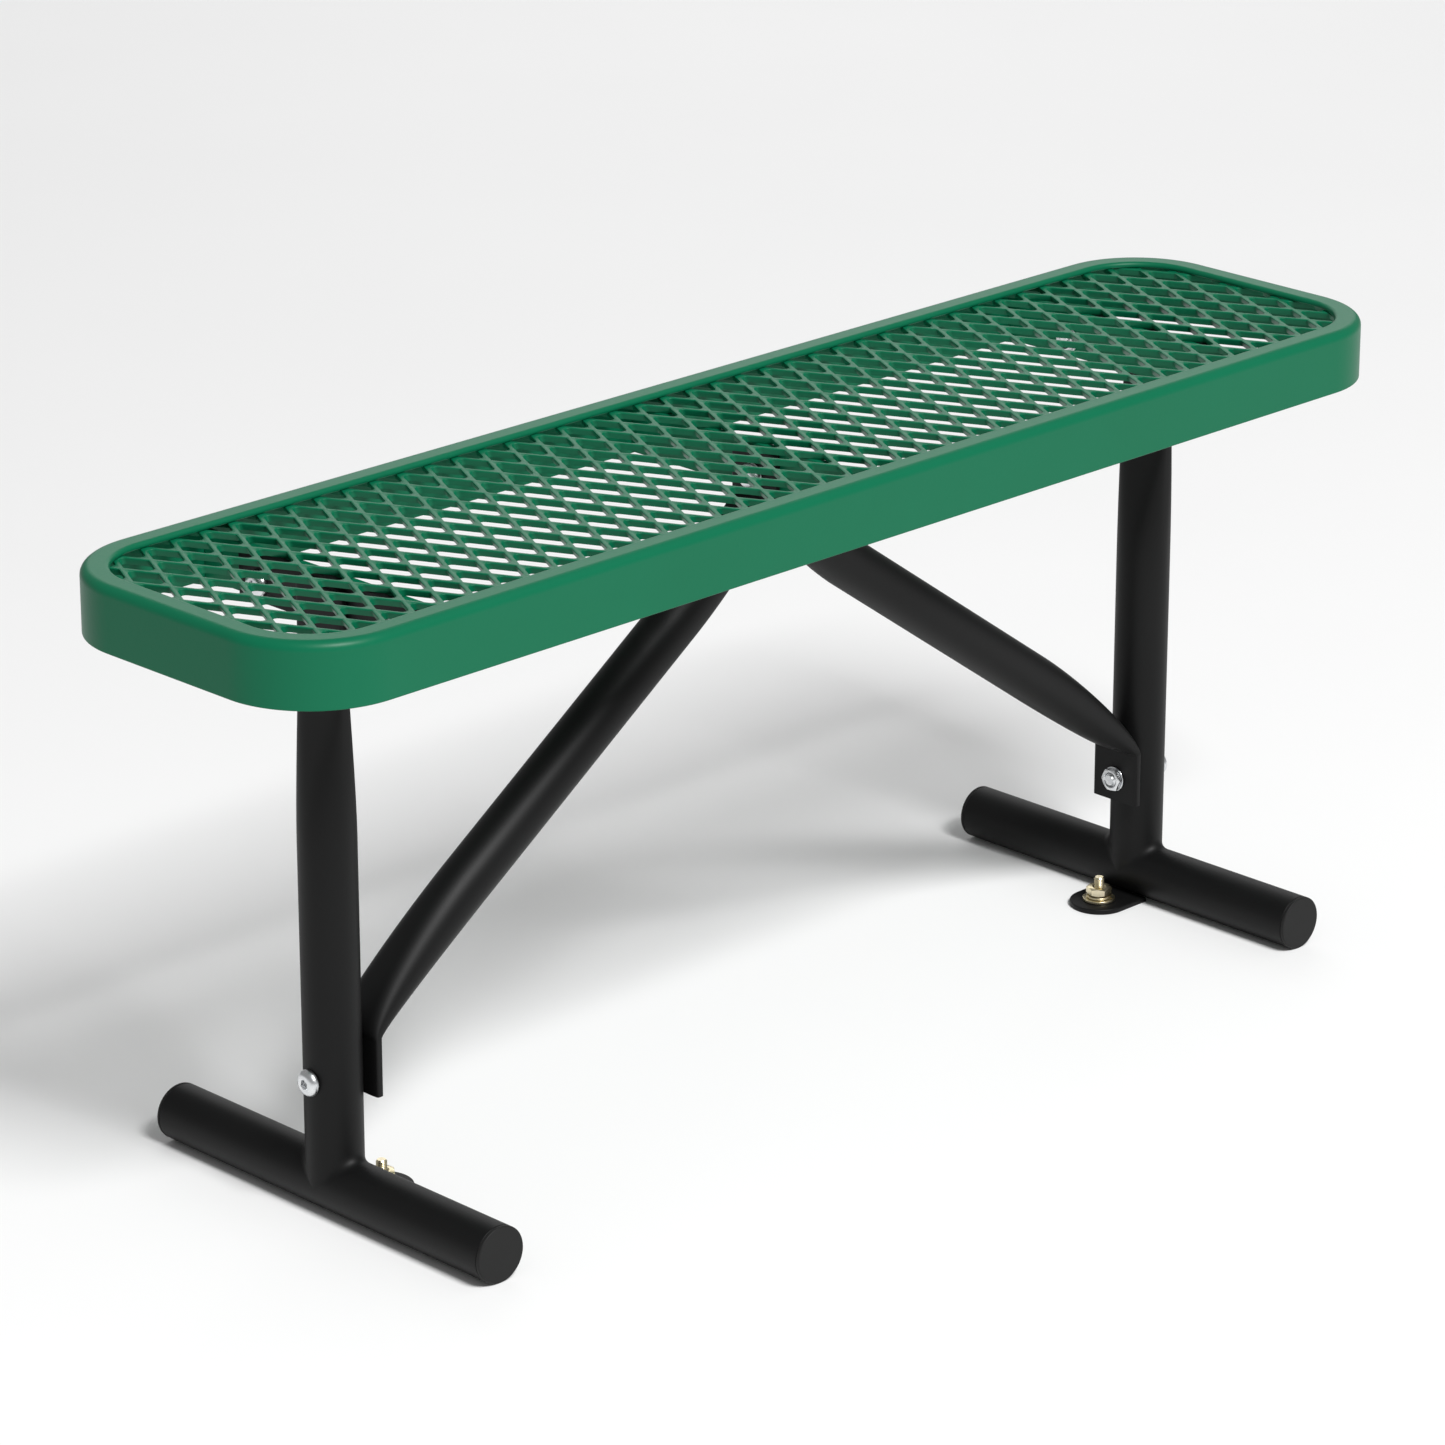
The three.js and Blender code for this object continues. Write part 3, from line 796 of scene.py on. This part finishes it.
def brace_tube():
    outer, inner = brace_rings(0), brace_rings(BRACE_WALL)
    return ring_mesh([*outer, *reversed(inner)], closed=True)


def brace_tubes():
    for side, sign in SIDES.items():
        bm = brace_tube()
        if sign < 0:
            half_turn(bm)
        settle(mesh_object(side + "_brace", bm, sharp_angle=50), BLACK, "brace_tube_" + side)


# Foot caps and floor tabs
def foot_caps():
    plug = FOOT_RADIUS - FOOT_WALL - CAP_PLAY
    plug_edge, back_edge, front_edge = 0.8 * MM, 0.3 * MM, 0.9 * MM
    for side in SIDES:
        for row, sign in ROWS.items():
            node = "foot_cap_" + side + "_" + row
            low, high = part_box(node)
            depth = high.y - low.y
            profile = rounded(
                [
                    (0, 0, 0),
                    (plug, 0, plug_edge),
                    (plug, depth - CAP_DISC, 0),
                    (FOOT_RADIUS, depth - CAP_DISC, back_edge),
                    (FOOT_RADIUS, depth, front_edge),
                    (0, depth, 0),
                ],
                steps=4,
                closed=False,
            )
            bm = ring_mesh(turned(profile, TUBE_SIDES))
            lay_along_y(bm, centre(node), low.y if sign > 0 else high.y, sign)
            settle(mesh_object(side + "_" + row + "_cap", bm), PLASTIC, node)


def floor_tabs():
    edge = 0.7 * MM
    for side, sign in SIDES.items():
        node = "floor_tab_" + side
        low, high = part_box(node)
        width = high.y - low.y
        stud = centre("anchor_stud_" + side)
        far = high.x if sign > 0 else -low.x
        near = low.x if sign > 0 else -high.x
        pivot = near + width / 2
        arc = ramp(math.pi / 2, 3 * math.pi / 2, 32)
        outline = [(far, -width / 2), (far, width / 2)]
        outline += [(pivot + width / 2 * math.cos(a), width / 2 * math.sin(a)) for a in arc]
        hole = (abs(stud.x), 0), ANCHOR_HOLE / 2
        bm = plate(node, outline, [hole], high.z - low.z, edge)
        if sign < 0:
            half_turn(bm)
        settle(mesh_object(side + "_tab", bm), BLACK, node)


# Fasteners, each drawn along +Z from the face that bears on the work
def hexagon(angle, across_flats):
    """Distance to a hexagon's side in a direction."""
    third = math.pi / 3
    return across_flats / 2 / math.cos((angle + third / 2) % third - third / 2)


def shaped(sides, rows):
    """Rings from functions of the angle that give a radius and a height."""
    rings = []
    for row in rows:
        spots = [(angle, *row(angle)) for angle in full_turn(sides)]
        rings.append([Vector((r * math.cos(a), r * math.sin(a), z)) for a, r, z in spots])
    return rings


def level(radius, height):
    return lambda angle: (radius, height)


def hexagon_row(across_flats, wider, height):
    return lambda angle: (hexagon(angle, across_flats) + wider, height)


def thread_rows(radius, pitch, start, end):
    """Rows of a screw thread from one height to another."""
    depth = THREAD_DEPTH * pitch
    count = round((end - start) / pitch * THREAD_ROWS)
    rows = []
    for height in ramp(start, end, count):

        def row(angle, height=height):
            phase = height / pitch - angle / (2 * math.pi)
            return radius - depth * (0.5 + 0.5 * math.cos(2 * math.pi * phase)), height

        rows.append(row)
    return rows


def button_bolt(length):
    """A bolt with a domed head and a hexagon socket in it; length is its shank's."""
    lead = 1 * MM  # from each end of the thread to the plain row beside it
    under_edge, crown_edge, mouth = 0.4 * MM, 0.3 * MM, 0.25 * MM
    thread_start, thread_end = -length + lead, -length + BOLT_THREADED
    rows = [level(0, -length), level(BOLT_RADIUS - BOLT_POINT, -length)]
    rows += thread_rows(BOLT_RADIUS, BOLT_PITCH, thread_start, thread_end)
    rows += [level(BOLT_RADIUS, thread_end + lead), level(BOLT_RADIUS, 0)]
    rows.append(level(BOLT_HEAD - under_edge, 0))
    dome_start, dome_end = math.radians(8), math.radians(82)
    for angle in ramp(dome_start, dome_end, 8):
        spread = math.cos(angle) / math.cos(dome_start)
        radius = BOLT_CROWN + (BOLT_HEAD - BOLT_CROWN) * spread
        rows.append(level(radius, BOLT_BRIM + (BOLT_HEAD_RISE - BOLT_BRIM) * math.sin(angle)))
    rows.append(level(BOLT_CROWN - crown_edge, BOLT_HEAD_RISE))
    for wider, drop in [(mouth, 0), (0, SOCKET_CHAMFER), (0, SOCKET_DEPTH)]:
        rows.append(hexagon_row(SOCKET_FLATS, wider, BOLT_HEAD_RISE - drop))
    rows.append(level(0, BOLT_HEAD_RISE - SOCKET_DEPTH - SOCKET_POINT))
    return ring_mesh(shaped(BOLT_SIDES, rows))


def hex_nut(across_flats, height, bore):
    """A nut with both ends chamfered at its corners and a countersunk bore."""
    face_radius = across_flats / 2 * NUT_FACE
    sink_across, sink_down = NUT_COUNTERSINK

    def face(base, sign):
        def edge(angle):
            radius = hexagon(angle, across_flats)
            return radius, base + sign * (radius - face_radius) * math.tan(NUT_CHAMFER)

        sunk = level(bore, base + sign * sink_down)
        return [sunk, level(bore + sink_across, base), level(face_radius, base), edge]

    rows = face(0, 1) + list(reversed(face(height, -1)))
    return ring_mesh(shaped(NUT_SIDES, rows), closed=True)


def washer(outer, bore, thickness):
    edge = 0.35 * MM
    corners = [(bore, 0, edge), (outer, 0, edge), (outer, thickness, edge), (bore, thickness, edge)]
    section = rounded(corners, steps=3, hold=0.1 * MM)
    return ring_mesh(turned(section, WASHER_SIDES), closed=True)


def lock_washer(outer, bore, thickness):
    """A spring washer: a square wire wound once, its cut ends a little apart."""
    edge = 0.3 * MM
    wire = thickness - SPLIT_RISE
    corners = [(bore, 0, edge), (outer, 0, edge), (outer, wire, edge), (bore, wire, edge)]
    section = rounded(corners, steps=3, hold=0.1 * MM)
    rings = []
    for share in ramp(0, 1, WASHER_SIDES):
        angle = SPLIT / 2 + (2 * math.pi - SPLIT) * share
        along_x, along_y = math.cos(angle), math.sin(angle)
        lift = SPLIT_RISE * share
        rings.append([Vector((r * along_x, r * along_y, z + lift)) for r, z in section])
    return ring_mesh(rings, capped=True)


def anchor_stud(length):
    """A stud that is threaded all the way, with both ends chamfered."""
    chamfer = 1 * MM
    rows = [level(0, 0), level(ANCHOR_RADIUS - chamfer, 0)]
    rows += thread_rows(ANCHOR_RADIUS, ANCHOR_PITCH, chamfer, length - chamfer)
    rows += [level(ANCHOR_RADIUS - chamfer, length), level(0, length)]
    return ring_mesh(shaped(STUD_SIDES, rows))


def scatter_tree():
    """Copies a fastener to each point, its +Z turned to the point's facing."""
    graph, entry = tree_with("set_fasteners", {"Fastener": "Object", "Finish": "Material"})
    facing = graph.node(
        "GeometryNodeInputNamedAttribute", {"data_type": "FLOAT_VECTOR"}, {"Name": "facing"}
    )
    spin = graph.node("GeometryNodeInputNamedAttribute", {"data_type": "FLOAT"}, {"Name": "spin"})
    turned_about = graph.node(
        "FunctionNodeAxisAngleToRotation", None, {"Axis": (0, 0, 1), "Angle": spin}
    )
    aimed = graph.node(
        "FunctionNodeAlignRotationToVector",
        {"axis": "Z"},
        {"Rotation": turned_about, "Vector": facing},
    )
    shape = graph.node("GeometryNodeObjectInfo", None, {"Object": entry.out("Fastener")})
    values = {"Points": entry.out("Geometry"), "Instance": shape.out("Geometry"), "Rotation": aimed}
    copies = graph.node("GeometryNodeInstanceOnPoints", None, values)
    solid = graph.node("GeometryNodeRealizeInstances", None, {"Geometry": copies})
    plated_copies = graph.node(
        "GeometryNodeSetMaterial", None, {"Geometry": solid, "Material": entry.out("Finish")}
    )
    graph.node("NodeGroupOutput", None, {"Geometry": plated_copies})
    return graph.tree


SCATTER = scatter_tree()


def set_fasteners(name, bm, material, places):
    """One piece for all copies of a fastener; places maps each node to (point, facing)."""
    pattern = mesh_object(name + "_pattern", bm)
    points = bpy.data.meshes.new(name + "_points")
    points.from_pydata([spot for spot, _ in places.values()], [], [])
    facing = points.attributes.new("facing", "FLOAT_VECTOR", "POINT")
    facing.data.foreach_set("vector", [part for _, way in places.values() for part in way])
    spin = points.attributes.new("spin", "FLOAT", "POINT")
    first, step = 0.4, 1.3
    spin.data.foreach_set("value", [first + step * index for index in range(len(places))])
    mesh = run_tree(name, SCATTER, points, {"Fastener": pattern, "Finish": material})
    bpy.data.objects.remove(pattern)
    piece = bpy.data.objects.new(name, mesh)
    bpy.context.scene.collection.objects.link(piece)
    settle(piece, material, *places)


def base_of(node, way):
    """The middle of a node's face that bears on the work, for a fastener facing along `way`."""
    low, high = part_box(node)
    spot = (low + high) / 2
    for axis, part in enumerate(way):
        if part:
            spot[axis] = low[axis] if part > 0 else high[axis]
    return spot


def on_faces(ways):
    """Where each node bears on the work, and the way it faces."""
    return {node: (base_of(node, way), way) for node, way in ways.items()}


def bolted_joints():
    """Prefix of each bolt stack and the way its head faces."""
    stacks = {}
    for side, sign in SIDES.items():
        stacks["leg_" + side] = Vector((sign, 0, 0))
        for row in ROWS:
            stacks["seat_" + side + "_" + row] = Vector((sign, 0, 0))
    stacks["centre"] = Vector((-1, 0, 0))
    return stacks


def fasteners():
    stacks = bolted_joints()
    bolts = {"leg": {}, "seat": {}, "centre": {}}
    for prefix, way in stacks.items():
        node = prefix + "_bolt"
        kind = prefix.split("_")[0]
        bolts[kind][node] = (base_of(node, -way) - way * BOLT_HEAD_RISE, way)
    for kind, places in bolts.items():
        shank = size(next(iter(places))).x - BOLT_HEAD_RISE
        set_fasteners(kind + "_bolts", button_bolt(shank), ZINC, places)
    washers = {prefix + "_washer": -way for prefix, way in stacks.items()}
    washers["centre_head_washer"] = stacks["centre"]
    nuts = {prefix + "_nut": -way for prefix, way in stacks.items()}
    bore = BOLT_RADIUS + BORE_PLAY
    thickness, width, _ = size("centre_washer")
    set_fasteners("plain_washers", washer(width / 2, bore, thickness), ZINC, on_faces(washers))
    height = size("centre_nut").x
    set_fasteners("hex_nuts", hex_nut(NUT_FLATS, height, bore), ZINC, on_faces(nuts))

    bore = ANCHOR_RADIUS + BORE_PLAY
    flat_radius = size("anchor_washer_left").x / 2
    split_radius = size("anchor_lock_washer_left").y / 2
    anchors = {
        "stud": anchor_stud,
        "washer": lambda height: washer(flat_radius, bore, height),
        "lock_washer": lambda height: lock_washer(split_radius, bore, height),
        "nut": lambda height: hex_nut(ANCHOR_NUT_FLATS, height, bore),
    }
    for kind, shape in anchors.items():
        nodes = {"anchor_" + kind + "_" + side: Vector((0, 0, 1)) for side in SIDES}
        height = size("anchor_" + kind + "_left").z
        set_fasteners("anchor_" + kind + "s", shape(height), YELLOW_ZINC, on_faces(nodes))


# Stage
def floor():
    finish = Finish("pale_floor")
    cloud = finish.noise(400 * MM, 2)
    material = finish.surface(
        Base_Color=finish.blend(cloud, (0.86, 0.86, 0.86), (0.88, 0.88, 0.88)),
        Roughness=0.9,
        Specular_IOR_Level=0.2,
    )
    bm = bmesh.new()
    corners = [(-1, -1), (1, -1), (1, 1), (-1, 1)]
    bm.faces.new([bm.verts.new((x * FLOOR_REACH, y * FLOOR_REACH, 0)) for x, y in corners])
    made = mesh_object("floor", bm)
    made.data.materials.append(material)


def softbox(name, place, target, width, height, power):
    """A rectangular area light at one point that faces another."""
    data = bpy.data.lights.new(name, "AREA")
    data.shape = "RECTANGLE"
    data.size = width
    data.size_y = height
    data.energy = power
    light = bpy.data.objects.new(name, data)
    light.location = place
    light.rotation_euler = (Vector(target) - Vector(place)).to_track_quat("-Z", "Y").to_euler()
    bpy.context.scene.collection.objects.link(light)


def studio():
    world = bpy.data.worlds.new("studio")
    world.use_nodes = True
    background = world.node_tree.nodes["Background"]
    background.inputs["Color"].default_value = (1, 1, 1, 1)
    background.inputs["Strength"].default_value = WORLD_LIGHT
    bpy.context.scene.world = world
    softbox("key", (-1.20, -5.66, 7.19), (0, 0, 0.3), width=2.6, height=2.6, power=920)
    softbox("back", (3.0, 3.0, 1.9), (0, 0, 0.4), width=3.5, height=1.8, power=26)
    bpy.context.scene.view_settings.view_transform = "Standard"


def camera():
    data = bpy.data.cameras.new("camera")
    data.lens = CAMERA_LENS
    data.sensor_width = CAMERA_SENSOR
    made = bpy.data.objects.new("camera", data)
    made.location = CAMERA_PLACE
    made.rotation_euler = (math.pi / 2 - CAMERA_ABOVE, 0, -CAMERA_ROUND)
    bpy.context.scene.collection.objects.link(made)
    bpy.context.scene.camera = made


camera()
studio()
floor()
seat_rim()
seat_mesh()
seat_plates()
foot_tubes()
leg_tubes()
brace_tubes()
foot_caps()
floor_tabs()
fasteners()
